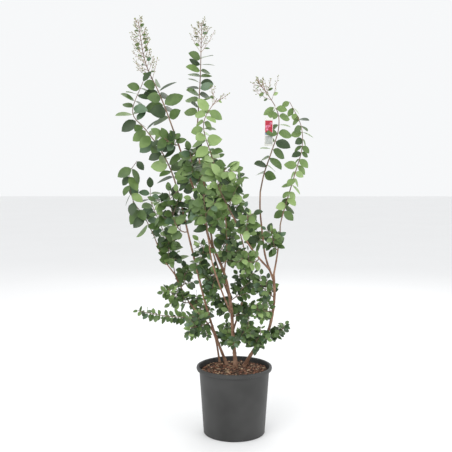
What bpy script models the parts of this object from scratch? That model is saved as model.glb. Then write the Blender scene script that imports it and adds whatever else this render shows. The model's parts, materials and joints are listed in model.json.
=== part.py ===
"""A potted crape myrtle: a young shrub of four slender stems in a black nursery pot.

The pot stands level with the middle of its underside at the origin. +Z is up, +X is to the right and
+Y is away from somebody who faces the plant. All sizes are in metres.
"""

import math
import random
from collections import namedtuple

import bmesh
import bpy
from mathutils import Quaternion, Vector
from mathutils.bvhtree import BVHTree
from mathutils.kdtree import KDTree

# Clearance between neighbouring solids
GAP = 0.0003

# Pot: a thin tapering wall, a rolled rim and drain holes at the foot
POT_HEIGHT = 0.250
POT_FOOT_RADIUS = 0.1135
POT_NECK_RADIUS = 0.1295
POT_WALL = 0.0028
POT_FLOOR = 0.003
POT_FOOT_ROUND = 0.002
POT_SIDES = 36
RIM_RADIUS = 0.140
RIM_HALF_WIDTH = 0.0055
RIM_HALF_HEIGHT = 0.008
RIM_POINTS = 7
DRAIN_COUNT = 8
DRAIN_WIDTH = 0.012
DRAIN_HEIGHT = 0.015
DRAIN_SILL = 0.004
DRAIN_DEPTH = 0.012
DRAIN_TURN = math.radians(-62.5)

# Soil, filled to a little below the rim
SOIL_LEVEL = 0.232
SOIL_EDGE_WIDTH = 0.010
SOIL_EDGE_DROP = 0.004

# Plant label, hung from a shoot by a strap
TAG_WIDTH = 0.032
TAG_HEIGHT = 0.104
TAG_THICKNESS = 0.0012
TAG_TURN = math.radians(12)
TAG_OFFSET = Vector((-0.026, -0.012, -0.093))
STRAP_WIDTH = 0.006
STRAP_THICKNESS = 0.0014
STRAP_SIDES = 10
TAG_SHOOT = "foliage_right_shoot"
TAG_SHARE = 0.735
TAG_LOOSENESS = 0.002

# Limbs
LIMB_SIDES = 6
LIMB_RING_SPACING = 0.055
FLARE_REACH = 0.022
STEM_FLARE = 0.55
BOUGH_FLARE = 0.25

# Foliage. The solid leaves are fewer than the plant's own, so they are larger than life.
GROWTH_SEED = 15
SMALL_LEAF_SCALE = 1.60
LARGE_LEAF_SCALE = 1.10
SMALL_LEAF = 0.030
LARGE_LEAF = 0.060
LEAF_WIDTH = 0.64
LEAF_SHOULDER = 0.30
LEAF_CREST = 0.38
LEAF_RISE = 0.040
LEAF_CLEAR_SHARE = 0.14
LEAF_ROOT_SHARE = 0.5
LEAF_TRIES = 16
LEAF_TILT = 0.7
NODE_TURN = math.radians(32)
NODE_TURN_SPREAD = math.radians(25)
FIRST_NODE = 0.16
SHOOT_SIDES = 4
SHOOT_SECTION = 0.045
SHOOT_TIP_RADIUS = 0.0011
SIDE_SHOOT_RADIUS = 0.0022
CLEARING_STEPS = 60
SEAT_SHARE = 0.95
SIDE_BEND = 0.35
SWINGS = (0, 20, -20, 40, -40, 60, -60, 90, -90)
TWIG_RADIUS = 0.0014
TWIG_TIP_RADIUS = 0.0009
TWIG_SHARE = 0.42
TWIG_LEAVES = 2
TWIG_CLEAR = 0.006
SPACE_STEP = 0.008
SPACE_MARGIN = 0.020
BUD_LENGTH = 0.0095
BUD_WIDTH = 0.0078
BUDS_PER_BRANCH = 4
FLOWER_BRANCH = 0.075
FLOWER_NODE_SPACING = 0.028

UP = Vector((0, 0, 1))
LIGHT = Vector((0.1, -0.8, 0.5))

# A limb starts on its parent's centre line at a share of the parent's length and runs through a few
# places. A stem has no parent: it rises from the soil.
Limb = namedtuple("Limb", "parent share foot_radius tip_radius route")

LIMBS = {
    "stem_left": Limb(None, 0, 0.0050, 0.0030, (
        (-0.026, 0.060, 0.232), (-0.068, 0.058, 0.342), (-0.104, 0.050, 0.458),
        (-0.140, 0.035, 0.607), (-0.172, 0.020, 0.746), (-0.200, 0.005, 0.872))),
    "stem_centre": Limb(None, 0, 0.0072, 0.0045, (
        (0.006, 0.033, 0.232), (-0.004, 0.033, 0.351), (-0.012, 0.030, 0.465),
        (-0.034, 0.025, 0.578), (-0.066, 0.020, 0.659), (-0.093, 0.015, 0.717))),
    "stem_right": Limb(None, 0, 0.0064, 0.0046, (
        (0.036, 0.045, 0.232), (0.074, 0.030, 0.299), (0.118, 0.010, 0.358),
        (0.138, -0.010, 0.432), (0.146, -0.025, 0.516), (0.142, -0.033, 0.589))),
    "stem_far_left": Limb(None, 0, 0.0036, 0.0024, (
        (-0.054, 0.095, 0.232), (-0.074, 0.105, 0.335), (-0.111, 0.115, 0.395),
        (-0.173, 0.130, 0.462), (-0.232, 0.150, 0.571))),
    "bough_left_high": Limb("stem_centre", 1, 0.0040, 0.0028, (
        (-0.120, 0.000, 0.821), (-0.161, -0.015, 0.941), (-0.211, -0.020, 1.089))),
    "bough_middle_high": Limb("stem_centre", 0.93, 0.0036, 0.0026, (
        (-0.096, 0.040, 0.800), (-0.109, 0.070, 0.903), (-0.130, 0.090, 1.000), (-0.139, 0.100, 1.120))),
    "bough_pale": Limb("stem_centre", 0.72, 0.0028, 0.0020, (
        (-0.027, -0.020, 0.702), (-0.036, -0.060, 0.827), (-0.057, -0.090, 0.945))),
    "bough_far_right": Limb("stem_right", 1, 0.0032, 0.0024, (
        (0.154, -0.035, 0.660), (0.164, -0.040, 0.747))),
    "bough_tag": Limb("stem_right", 0.94, 0.0038, 0.0028, (
        (0.114, -0.003, 0.653), (0.104, 0.020, 0.731), (0.096, 0.045, 0.822), (0.097, 0.060, 0.889))),
    "bough_right_inner": Limb("bough_tag", 0.14, 0.0036, 0.0026, (
        (0.092, -0.060, 0.650), (0.053, -0.090, 0.702), (0.012, -0.115, 0.773), (-0.010, -0.130, 0.815))),
    "bough_far_left": Limb("stem_far_left", 1, 0.0024, 0.0019, (
        (-0.277, 0.160, 0.632), (-0.310, 0.165, 0.715))),
    "bough_back_left": Limb("stem_centre", 0.53, 0.0034, 0.0024, (
        (-0.069, 0.100, 0.622), (-0.112, 0.170, 0.769), (-0.148, 0.200, 0.874))),
    "bough_back_right": Limb("stem_centre", 0.27, 0.0034, 0.0024, (
        (0.035, 0.110, 0.485), (0.048, 0.180, 0.612), (0.025, 0.210, 0.727))),
    "bough_front": Limb("stem_centre", 0.40, 0.0034, 0.0024, (
        (-0.045, -0.060, 0.533), (-0.079, -0.130, 0.649), (-0.092, -0.170, 0.744))),
}

# A mass of foliage grows from one shoot. The shoot carries on from a limb's tip through a few places, or
# leaves a limb's side in a compass direction (0 right, 90 back, 180 left, 270 front) at a rise, in
# degrees. A habit says how far apart the pairs of leaves are, in leaf lengths, how much the leaves hang,
# at every how manieth node a leafy twig grows, and from what share of the shoot on it bears buds.
Heading = namedtuple("Heading", "turn rise length")
Mass = namedtuple("Mass", "limb share route leaf habit")
Habit = namedtuple("Habit", "spacing droop twig_every buds_from")

SHOOT = Habit(spacing=0.60, droop=0.35, twig_every=0, buds_from=1.0)
HANGING = Habit(spacing=0.85, droop=1.30, twig_every=0, buds_from=1.0)
SPRAY = Habit(spacing=0.47, droop=0.25, twig_every=2, buds_from=1.0)
PALE_SHOOT = Habit(spacing=0.60, droop=0.50, twig_every=0, buds_from=0.90)
LEFT_PANICLE = Habit(spacing=0.60, droop=0.25, twig_every=0, buds_from=0.50)
MIDDLE_PANICLE = Habit(spacing=0.60, droop=0.20, twig_every=0, buds_from=0.72)
RIGHT_PANICLE = Habit(spacing=0.90, droop=0.60, twig_every=0, buds_from=0.80)

MASSES = {
    "foliage_left_top": Mass("stem_left", 1, (
        (-0.228, 0.000, 0.963), (-0.267, -0.010, 1.043), (-0.318, -0.020, 1.113),
        (-0.364, -0.030, 1.176), (-0.326, -0.030, 1.282)), 0.066, SHOOT),
    "foliage_left_panicle": Mass("bough_left_high", 1, (
        (-0.243, -0.020, 1.177), (-0.271, -0.015, 1.246), (-0.321, -0.005, 1.359),
        (-0.346, 0.000, 1.508)), 0.070, LEFT_PANICLE),
    "foliage_middle_panicle": Mass("bough_middle_high", 1, (
        (-0.132, 0.100, 1.224), (-0.126, 0.100, 1.332), (-0.121, 0.100, 1.518)), 0.060, MIDDLE_PANICLE),
    "foliage_pale": Mass("bough_pale", 1, (
        (-0.078, -0.100, 1.011), (-0.108, -0.120, 1.127), (-0.061, -0.120, 1.215)), 0.060, PALE_SHOOT),
    "foliage_right_inner": Mass("bough_right_inner", 1, (
        (-0.043, -0.140, 0.881), (-0.058, -0.150, 0.928), (-0.030, -0.160, 0.975)), 0.056, SPRAY),
    "foliage_right_shoot": Mass("bough_tag", 1, (
        (0.112, 0.075, 0.957), (0.140, 0.090, 1.038), (0.167, 0.100, 1.127), (0.157, 0.100, 1.202),
        (0.087, 0.090, 1.303)), 0.060, RIGHT_PANICLE),
    "foliage_far_right": Mass("bough_far_right", 1, (
        (0.169, -0.040, 0.794), (0.217, -0.035, 0.957), (0.242, -0.025, 1.048), (0.238, -0.020, 1.130),
        (0.199, 0.000, 1.215)), 0.046, HANGING),
    "foliage_far_left": Mass("bough_far_left", 1, (
        (-0.349, 0.165, 0.793), (-0.390, 0.160, 0.855), (-0.403, 0.150, 0.950), (-0.371, 0.140, 1.005)),
        0.066, HANGING),
    "foliage_back_left": Mass("bough_back_left", 1, (
        (-0.172, 0.220, 0.940), (-0.185, 0.230, 1.000)), 0.052, SPRAY),
    "foliage_back_right": Mass("bough_back_right", 1, (
        (-0.003, 0.230, 0.805), (-0.023, 0.240, 0.890)), 0.048, SPRAY),
    "foliage_front": Mass("bough_front", 1, (
        (-0.098, -0.200, 0.817), (-0.107, -0.220, 0.890)), 0.048, SPRAY),
    "foliage_low_left": Mass("stem_left", 0.32, Heading(200, 6, 0.270), 0.032, SHOOT),
    "foliage_left_foot": Mass("stem_left", 0.27, Heading(235, 0, 0.130), 0.032, SPRAY),
    "foliage_left_inner_low": Mass("stem_left", 0.41, Heading(305, 55, 0.120), 0.032, SPRAY),
    "foliage_left_inner": Mass("stem_left", 0.60, Heading(295, 50, 0.110), 0.045, SPRAY),
    "foliage_left_outer": Mass("stem_left", 0.80, Heading(200, 65, 0.165), 0.050, SPRAY),
    "foliage_far_left_inner": Mass("stem_far_left", 0.97, (
        (-0.243, 0.155, 0.640), (-0.253, 0.160, 0.685), (-0.280, 0.165, 0.748), (-0.321, 0.175, 0.847),
        (-0.325, 0.180, 0.900)), 0.058, SHOOT),
    "foliage_far_left_low": Mass("stem_far_left", 0.44, Heading(130, 45, 0.105), 0.034, SPRAY),
    "foliage_far_left_out": Mass("stem_far_left", 0.68, Heading(195, 35, 0.100), 0.037, SPRAY),
    "foliage_far_left_up": Mass("stem_far_left", 0.85, Heading(80, 50, 0.090), 0.040, SPRAY),
    "foliage_foot_left": Mass("stem_centre", 0.18, Heading(115, 20, 0.105), 0.034, SPRAY),
    "foliage_foot_right": Mass("stem_centre", 0.23, Heading(300, 30, 0.135), 0.034, SPRAY),
    "foliage_centre_left_low": Mass("stem_centre", 0.41, Heading(125, 30, 0.095), 0.034, SPRAY),
    "foliage_centre_right_low": Mass("stem_centre", 0.38, Heading(55, 15, 0.115), 0.034, SPRAY),
    "foliage_centre_right": Mass("stem_centre", 0.51, Heading(40, 45, 0.135), 0.036, SPRAY),
    "foliage_centre_left": Mass("stem_centre", 0.64, Heading(180, 35, 0.100), 0.038, SPRAY),
    "foliage_centre_right_high": Mass("stem_centre", 0.79, Heading(45, 35, 0.115), 0.042, SPRAY),
    "foliage_centre_front_high": Mass("stem_centre", 0.88, Heading(315, 55, 0.120), 0.046, SPRAY),
    "foliage_far_left_side": Mass("bough_far_left", 0.34, Heading(290, 70, 0.110), 0.048, SPRAY),
    "foliage_far_right_low": Mass("bough_far_right", 0.59, Heading(245, 50, 0.095), 0.038, SPRAY),
    "foliage_left_high_low": Mass("bough_left_high", 0.23, Heading(235, 35, 0.080), 0.050, SPRAY),
    "foliage_right_foot": Mass("stem_right", 0.23, Heading(280, 40, 0.115), 0.032, SPRAY),
    "foliage_right_low": Mass("stem_right", 0.41, Heading(330, 25, 0.080), 0.032, SPRAY),
    "foliage_right_inner_low": Mass("stem_right", 0.66, Heading(230, 10, 0.100), 0.032, SPRAY),
    "foliage_right_inner_upper": Mass("stem_right", 0.79, Heading(125, 25, 0.115), 0.034, SPRAY),
    "foliage_right_inner_mid": Mass("bough_right_inner", 0.28, Heading(230, 5, 0.105), 0.038, SPRAY),
    "foliage_right_inner_high": Mass("bough_right_inner", 0.71, Heading(295, 60, 0.080), 0.048, SPRAY),
    "foliage_tag_low": Mass("bough_tag", 0.45, Heading(130, 20, 0.065), 0.042, SPRAY),
    "foliage_pale_low": Mass("bough_pale", 0.61, Heading(235, 40, 0.110), 0.050, SPRAY),
    "foliage_pale_high": Mass("bough_pale", 0.86, Heading(35, 35, 0.085), 0.050, SPRAY),
    "foliage_left_high_mid": Mass("bough_left_high", 0.62, Heading(275, 65, 0.100), 0.052, SPRAY),
    "foliage_left_high_out": Mass("bough_left_high", 0.92, Heading(210, 25, 0.070), 0.058, SPRAY),
    "foliage_middle_mid": Mass("bough_middle_high", 0.61, Heading(60, 50, 0.100), 0.050, SPRAY),
}


# Materials

def material(name, colour, roughness):
    """A Principled material, made once for each name."""
    found = bpy.data.materials.get(name)
    if found:
        return found
    made = bpy.data.materials.new(name)
    made.use_nodes = True
    shader = made.node_tree.nodes["Principled BSDF"]
    shader.inputs["Base Color"].default_value = (*colour, 1)
    shader.inputs["Roughness"].default_value = roughness
    shader.inputs["Metallic"].default_value = 0
    return made


def bark_material():
    return material("bark", (0.20, 0.11, 0.065), 0.75)


def leaf_material(leaf_length):
    """Deep green on the small low leaves, a fresher green on the large high ones."""
    if leaf_length < 0.040:
        return material("leaf_small", (0.065, 0.150, 0.030), 0.45)
    return material("leaf_large", (0.095, 0.190, 0.045), 0.45)


# Meshes

def mesh_object(name, corners, faces, look):
    mesh = bpy.data.meshes.new(name)
    mesh.from_pydata([tuple(corner) for corner in corners], [], faces)
    mesh.materials.append(look)
    made = bpy.data.objects.new(name, mesh)
    bpy.context.scene.collection.objects.link(made)
    return made


def turned(profile, sides):
    """Corners and faces of a profile of (radius, height) pairs turned round +Z, from axis to axis.

    The profile runs from the bottom outwards, up and back in, so that the faces point out."""
    corners = []
    rings = []
    for radius, height in profile:
        count = sides if radius else 1
        rings.append(range(len(corners), len(corners) + count))
        for i in range(count):
            turn = math.tau * i / sides
            corners.append(Vector((radius * math.cos(turn), radius * math.sin(turn), height)))
    faces = []
    for low, high in zip(rings, rings[1:]):
        for i in range(sides):
            j = (i + 1) % sides
            quad = (low[i % len(low)], low[j % len(low)], high[j % len(high)], high[i % len(high)])
            faces.append(tuple(dict.fromkeys(quad)))
    return corners, faces


def tube(places, radii, sides, level_foot=None):
    """Corners and faces of a round tapering tube with flat ends, through places in a line.

    level_foot is the height of a level cut under the tube, where it has one."""
    corners = []
    side = None
    for i, place in enumerate(places):
        along = places[min(i + 1, len(places) - 1)] - places[max(i - 1, 0)]
        along.normalize()
        side = along.orthogonal() if side is None else side - along * side.dot(along)
        side.normalize()
        other = along.cross(side)
        for k in range(sides):
            turn = math.tau * k / sides
            corner = place + radii[i] * (math.cos(turn) * side + math.sin(turn) * other)
            if i == 0 and level_foot is not None:
                corner += along * ((level_foot - corner.z) / along.z)
            corners.append(corner)
    faces = [tuple(reversed(range(sides)))]
    for i in range(len(places) - 1):
        for k in range(sides):
            a = i * sides + k
            b = i * sides + (k + 1) % sides
            faces.append((a, b, b + sides, a + sides))
    last = len(corners) - sides
    faces.append(tuple(range(last, last + sides)))
    return corners, faces


def bar(start, end, across, width, thickness):
    """Corners and faces of a straight flat bar; its width lies along the direction across."""
    along = (end - start).normalized()
    across = (across - along * across.dot(along)).normalized()
    out = along.cross(across)
    corners = []
    for place in (start, end):
        for a, b in ((-1, -1), (1, -1), (1, 1), (-1, 1)):
            corners.append(place + across * (a * width / 2) + out * (b * thickness / 2))
    faces = [(3, 2, 1, 0), (4, 5, 6, 7)]
    for k in range(4):
        faces.append((k, (k + 1) % 4, (k + 1) % 4 + 4, k + 4))
    return corners, faces


def keep_largest_shell(mesh):
    """Deletes loose scraps and the walls of sealed hollows: the shell of the largest volume stays."""
    shape = bmesh.new()
    shape.from_mesh(mesh)
    shape.faces.ensure_lookup_table()
    waiting = set(shape.faces)
    shells = []
    while waiting:
        front = [waiting.pop()]
        shell = list(front)
        while front:
            for edge in front.pop().edges:
                for face in edge.link_faces:
                    if face in waiting:
                        waiting.remove(face)
                        front.append(face)
                        shell.append(face)
        shells.append(shell)

    def volume(shell):
        return sum(face.calc_center_median().dot(face.normal) * face.calc_area() for face in shell)

    shells.sort(key=volume)
    scraps = [face for shell in shells[:-1] for face in shell]
    bmesh.ops.delete(shape, geom=scraps, context="FACES")
    shape.to_mesh(mesh)
    shape.free()


def apply_modifier(item, name):
    bpy.context.view_layer.objects.active = item
    bpy.ops.object.modifier_apply(modifier=name)


def fuse(name, pieces, look):
    """One closed body from pieces that are sunk into each other."""
    body = mesh_object(name, *pieces[0], look)
    parts = bpy.data.collections.new(name + "_parts")
    bpy.context.scene.collection.children.link(parts)
    for corners, faces in pieces[1:]:
        part = mesh_object(name + "_part", corners, faces, look)
        bpy.context.scene.collection.objects.unlink(part)
        parts.objects.link(part)
    union = body.modifiers.new("fuse", "BOOLEAN")
    union.operation = "UNION"
    union.operand_type = "COLLECTION"
    union.collection = parts
    union.solver = "EXACT"
    apply_modifier(body, union.name)
    for part in list(parts.objects):
        mesh = part.data
        bpy.data.objects.remove(part)
        bpy.data.meshes.remove(mesh)
    bpy.data.collections.remove(parts)
    keep_largest_shell(body.data)
    return body


# Lines that limbs and shoots follow

class Line:
    """A smooth line as a row of close places, read by the share of its length."""

    def __init__(self, places):
        self.places = places
        self.marks = [0.0]
        for a, b in zip(places, places[1:]):
            self.marks.append(self.marks[-1] + (b - a).length)
        self.length = self.marks[-1]

    def place(self, share):
        wanted = max(0.0, min(1.0, share)) * self.length
        i = 1
        while i < len(self.marks) - 1 and self.marks[i] < wanted:
            i += 1
        step = self.marks[i] - self.marks[i - 1]
        return self.places[i - 1].lerp(self.places[i], (wanted - self.marks[i - 1]) / step)

    def heading(self, share):
        reach = 0.02
        return (self.place(share + reach) - self.place(share - reach)).normalized()


def line_through(route):
    """A Line that passes smoothly through the places of a route (a Catmull-Rom spline)."""
    steps = 10
    route = [Vector(place) for place in route]
    ends = [2 * route[0] - route[1], *route, 2 * route[-1] - route[-2]]
    places = []
    for a, b, c, d in zip(ends, ends[1:], ends[2:], ends[3:]):
        for k in range(steps):
            t = k / steps
            places.append(0.5 * (2 * b + (c - a) * t + (2 * a - 5 * b + 4 * c - d) * t ** 2
                                 + (3 * b - a - 3 * c + d) * t ** 3))
    places.append(route[-1])
    return Line(places)


def line_arch(start, control, end):
    """A Line that leaves start towards control and bends over to end."""
    steps = 10
    places = []
    for k in range(steps + 1):
        t = k / steps
        places.append(start * (1 - t) ** 2 + control * (2 * t * (1 - t)) + end * t ** 2)
    return Line(places)


def compass(turn, rise):
    turn = math.radians(turn)
    rise = math.radians(rise)
    return Vector((math.cos(turn) * math.cos(rise), math.sin(turn) * math.cos(rise), math.sin(rise)))


# Pot, soil and label

def wall_radius(height):
    """Radius of the pot's outer wall at a height."""
    return POT_FOOT_RADIUS + (POT_NECK_RADIUS - POT_FOOT_RADIUS) * height / (POT_HEIGHT - 2 * RIM_HALF_HEIGHT)


def pot_profile():
    neck = POT_HEIGHT - 2 * RIM_HALF_HEIGHT
    profile = [(0, 0)]
    for turn in (-90, -45, 0):
        turn = math.radians(turn)
        profile.append((POT_FOOT_RADIUS - POT_FOOT_ROUND * (1 - math.cos(turn)),
                        POT_FOOT_ROUND * (1 + math.sin(turn))))
    profile.append((wall_radius(neck), neck))
    for i in range(RIM_POINTS):
        turn = math.radians(-100 + 290 * i / (RIM_POINTS - 1))
        profile.append((RIM_RADIUS - RIM_HALF_WIDTH * (1 - math.cos(turn)),
                        POT_HEIGHT - RIM_HALF_HEIGHT * (1 - math.sin(turn))))
    profile.append((wall_radius(neck) - POT_WALL, neck - POT_WALL))
    profile.append((wall_radius(POT_FLOOR) - POT_WALL, POT_FLOOR))
    profile.append((0, POT_FLOOR))
    return profile


def make_drain_cutter():
    """Eight upright blocks in a ring, where the pot's drain holes go."""
    corners = []
    faces = []
    for i in range(DRAIN_COUNT):
        turn = DRAIN_TURN + math.tau * i / DRAIN_COUNT
        out = Vector((math.cos(turn), math.sin(turn), 0))
        middle = out * (POT_FOOT_RADIUS - POT_WALL / 2)
        block, sides = bar(middle + UP * DRAIN_SILL, middle + UP * (DRAIN_SILL + DRAIN_HEIGHT),
                           UP.cross(out), DRAIN_WIDTH, DRAIN_DEPTH)
        faces += [tuple(k + len(corners) for k in side) for side in sides]
        corners += block
    cutter = mesh_object("drain_cutter", corners, faces, material("cutter", (0.8, 0.1, 0.1), 0.5))
    cutter.hide_render = True
    cutter.display_type = "WIRE"
    return cutter


def make_pot():
    pot = mesh_object("pot", *turned(pot_profile(), POT_SIDES), material("pot_plastic", (0.030, 0.030, 0.029), 0.6))
    holes = pot.modifiers.new("drain_holes", "BOOLEAN")
    holes.operation = "DIFFERENCE"
    holes.object = make_drain_cutter()
    holes.solver = "EXACT"
    pot.data.shade_smooth()
    pot.data.set_sharp_from_angle(angle=math.radians(35))


def make_soil():
    def inside(height):
        return wall_radius(height) - POT_WALL - GAP / math.cos(math.pi / POT_SIDES)

    bottom = POT_FLOOR + GAP
    edge = SOIL_LEVEL - SOIL_EDGE_DROP
    profile = [(0, bottom), (inside(bottom), bottom), (inside(edge), edge),
               (inside(edge) - SOIL_EDGE_WIDTH, SOIL_LEVEL), (0, SOIL_LEVEL)]
    mesh_object("soil", *turned(profile, POT_SIDES), material("bark_mix", (0.055, 0.030, 0.020), 0.95))


def make_tag(shoot, radius):
    """A plain label: a strap round the shoot, a neck and a thin plate hanging beside it."""
    hold = shoot.place(TAG_SHARE)
    along = shoot.heading(TAG_SHARE)
    inner = radius + GAP + STRAP_THICKNESS / 2
    outer = inner + STRAP_THICKNESS
    half = STRAP_WIDTH / 2
    ring, sides = turned_ring(inner, outer, half)
    swing = UP.rotation_difference(along)
    ring = [swing @ corner + hold for corner in ring]
    face = Vector((math.sin(TAG_TURN), -math.cos(TAG_TURN), 0))
    across = UP.cross(face)
    middle = hold + TAG_OFFSET
    plate = bar(middle - UP * TAG_HEIGHT / 2, middle + UP * TAG_HEIGHT / 2, across, TAG_WIDTH, TAG_THICKNESS)
    neck_foot = middle + UP * (TAG_HEIGHT / 2 - STRAP_WIDTH) + across * (TAG_WIDTH / 2 - STRAP_WIDTH)
    out = (neck_foot - hold)
    out = (out - along * out.dot(along)).normalized()
    neck = bar(hold + out * (inner + STRAP_THICKNESS / 2), neck_foot, along, STRAP_WIDTH * 0.8, STRAP_THICKNESS)
    return fuse("label_tag", [(ring, sides), neck, plate], material("tag_plastic", (0.75, 0.74, 0.70), 0.35))


def turned_ring(inner, outer, half):
    """Corners and faces of a square-section ring round +Z."""
    corners = []
    for radius, height in ((inner, -half), (outer, -half), (outer, half), (inner, half)):
        for i in range(STRAP_SIDES):
            turn = math.tau * i / STRAP_SIDES
            corners.append(Vector((radius * math.cos(turn), radius * math.sin(turn), height)))
    faces = []
    for k in range(4):
        for i in range(STRAP_SIDES):
            j = (i + 1) % STRAP_SIDES
            low = k * STRAP_SIDES
            high = (k + 1) % 4 * STRAP_SIDES
            faces.append((low + i, low + j, high + j, high + i))
    return corners, faces


# Limbs

def limb_radius(limb, share, length):
    """Straight taper with a flare at the foot."""
    flare = STEM_FLARE if limb.parent is None else BOUGH_FLARE
    taper = limb.foot_radius + (limb.tip_radius - limb.foot_radius) * share
    return taper * (1 + flare * math.exp(-share * length / FLARE_REACH))


def limb_tube(limb, line, swell):
    """The limb's tube, swollen all round; a swollen copy cuts its neighbours."""
    rings = max(4, round(line.length / LIMB_RING_SPACING))
    shares = sorted([FLARE_REACH / line.length] + [i / rings for i in range(rings + 1)])
    places = [line.place(share) for share in shares]
    radii = [limb_radius(limb, share, line.length) + swell for share in shares]
    level_foot = SOIL_LEVEL + GAP if limb.parent is None else None
    if swell:
        places[-1] = places[-1] + line.heading(1) * swell
    return tube(places, radii, LIMB_SIDES, level_foot)


def lay_out_limbs():
    lines = {}
    for name, limb in LIMBS.items():
        route = list(limb.route)
        if limb.parent:
            start = lines[limb.parent].place(limb.share)
            if limb.share == 1:
                start = start + lines[limb.parent].heading(1) * GAP
            route.insert(0, start)
        lines[name] = line_through(route)
    return lines


def make_limbs(lines):
    """Stems and boughs. Each is cut clear of the limbs made before it, so a bough is seated on its parent."""
    made = {}
    for name, limb in LIMBS.items():
        body = mesh_object(name, *limb_tube(limb, lines[name], 0), bark_material())
        for other in made:
            swell = GAP / math.cos(math.pi / LIMB_SIDES)
            cutter = mesh_object("cutter", *limb_tube(LIMBS[other], lines[other], swell), bark_material())
            cut = body.modifiers.new("seat", "BOOLEAN")
            cut.operation = "DIFFERENCE"
            cut.object = cutter
            cut.solver = "EXACT"
            apply_modifier(body, cut.name)
            bpy.data.objects.remove(cutter)
        keep_largest_shell(body.data)
        body.data.shade_smooth()
        body.data.set_sharp_from_angle(angle=math.radians(70))
        made[name] = body
    return made


# Foliage

def tree_of(piece):
    corners, faces = piece
    return BVHTree.FromPolygons([tuple(corner) for corner in corners], faces)


class Neighbours:
    """Everything that a new twig or leaf has to stay clear of."""

    def __init__(self, limbs):
        self.pieces = []
        for body in limbs.values():
            mesh = body.data
            self.add(([vertex.co.copy() for vertex in mesh.vertices],
                      [tuple(face.vertices) for face in mesh.polygons]))

    def add(self, piece, branch=None):
        corners = piece[0]
        middle = sum(corners, Vector()) / len(corners)
        reach = max((corner - middle).length for corner in corners)
        self.pieces.append((middle, reach, tree_of(piece), branch))

    def clear_of(self, piece, branch=None, gap=2 * GAP):
        """Whether a piece is clear of all the others but those of its own branch."""
        corners = piece[0]
        middle = sum(corners, Vector()) / len(corners)
        reach = max((corner - middle).length for corner in corners)
        own = tree_of(piece)
        for place, size, tree, other_branch in self.pieces:
            if branch and other_branch == branch:
                continue
            if (place - middle).length < reach + size:
                if own.overlap(tree):
                    return False
                if any(tree.find_nearest(corner, gap)[0] for corner in corners):
                    return False
        return True


def seated_line(start, step, line_from, radius, surface):
    """The line that line_from gives from a start, which moves on until the shoot is clear of its limb."""
    for _ in range(CLEARING_STEPS):
        line = line_from(start)
        shoot = shoot_piece(line, radius)
        nearest = min(surface.find_nearest(corner)[3] for corner in shoot[0])
        if nearest >= SEAT_SHARE * GAP and not surface.overlap(tree_of(shoot)):
            break
        start = start + step
    return line


def mass_line(mass, limb_lines, limbs, swing):
    """The line of a mass's shoot, 0.3 mm clear of its limb, with the shoot's radius at its foot. The shoot
    is turned aside by a swing, in degrees."""
    limb = LIMBS[mass.limb]
    limb_line = limb_lines[mass.limb]
    foot = limb_line.place(mass.share)
    along = limb_line.heading(mass.share)
    body = limbs[mass.limb].data
    surface = tree_of(([vertex.co.copy() for vertex in body.vertices],
                       [tuple(face.vertices) for face in body.polygons]))
    if mass.share == 1:
        def carried_on(start):
            return line_through([start, *mass.route])
        radius = limb.tip_radius
        return seated_line(foot + along * GAP, along * GAP / 2, carried_on, radius, surface), radius
    if isinstance(mass.route, Heading):
        heading = compass(mass.route.turn + swing, mass.route.rise)
        places = [foot + heading * mass.route.length]
    else:
        places = [Vector(place) for place in mass.route]
        heading = (places[0] - foot).normalized()
    out = (heading - along * heading.dot(along)).normalized()
    radius = min(SIDE_SHOOT_RADIUS, 0.8 * limb_radius(limb, mass.share, limb_line.length))

    def branched_off(start):
        if len(places) == 1:
            return line_arch(start, start + out * (SIDE_BEND * (places[0] - foot).length), places[0])
        return line_through([start, *places])
    start = surface.ray_cast(foot, out)[0] + out * GAP
    return seated_line(start, out * GAP / 2, branched_off, radius, surface), radius


def shoot_radius(foot_radius, share):
    return foot_radius + (SHOOT_TIP_RADIUS - foot_radius) * share


def shoot_piece(line, foot_radius):
    sections = max(3, round(line.length / SHOOT_SECTION))
    shares = [i / sections for i in range(sections + 1)]
    return tube([line.place(s) for s in shares], [shoot_radius(foot_radius, s) for s in shares], SHOOT_SIDES)


def solid_leaf_length(leaf):
    """Small leaves are enlarged most, because the plant has most of them."""
    share = (leaf - SMALL_LEAF) / (LARGE_LEAF - SMALL_LEAF)
    return leaf * (SMALL_LEAF_SCALE + (LARGE_LEAF_SCALE - SMALL_LEAF_SCALE) * max(0, min(1, share)))


def leaf_piece(root, heading, face, length):
    """A low six-sided pyramid: an oval blade with a raised middle and a pointed root."""
    face = (face - heading * face.dot(heading)).normalized()
    across = heading.cross(face)
    half_width = LEAF_WIDTH * length / 2
    low = root + heading * (LEAF_SHOULDER * length)
    high = root + heading * ((1 - LEAF_SHOULDER) * length)
    middle = root + heading * (LEAF_CREST * length) + face * (LEAF_RISE * length)
    corners = [root, low + across * half_width, high + across * half_width, root + heading * length,
               high - across * half_width, low - across * half_width, middle]
    faces = [(6, k, (k + 1) % 6) for k in range(6)]
    faces.append((5, 4, 3, 2, 1, 0))
    return corners, faces


def blade_part(piece):
    """The outer part of a leaf, which has to stay clear of its neighbours; the root is sunk in its twig."""
    corners, faces = piece
    tip = corners[3]
    return [corner.lerp(tip, LEAF_CLEAR_SHARE) for corner in corners], faces


def bud_piece(middle, heading):
    """A three-sided bud, pointed at both ends."""
    side = heading.orthogonal().normalized()
    corners = [middle - heading * (BUD_LENGTH / 2), middle + heading * (BUD_LENGTH / 2)]
    for k in range(3):
        corners.append(middle + Quaternion(heading, math.tau * k / 3) @ side * (BUD_WIDTH / 2))
    faces = []
    for k in range(3):
        a = 2 + k
        b = 2 + (k + 1) % 3
        faces.append((1, a, b))
        faces.append((0, b, a))
    return corners, faces


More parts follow.
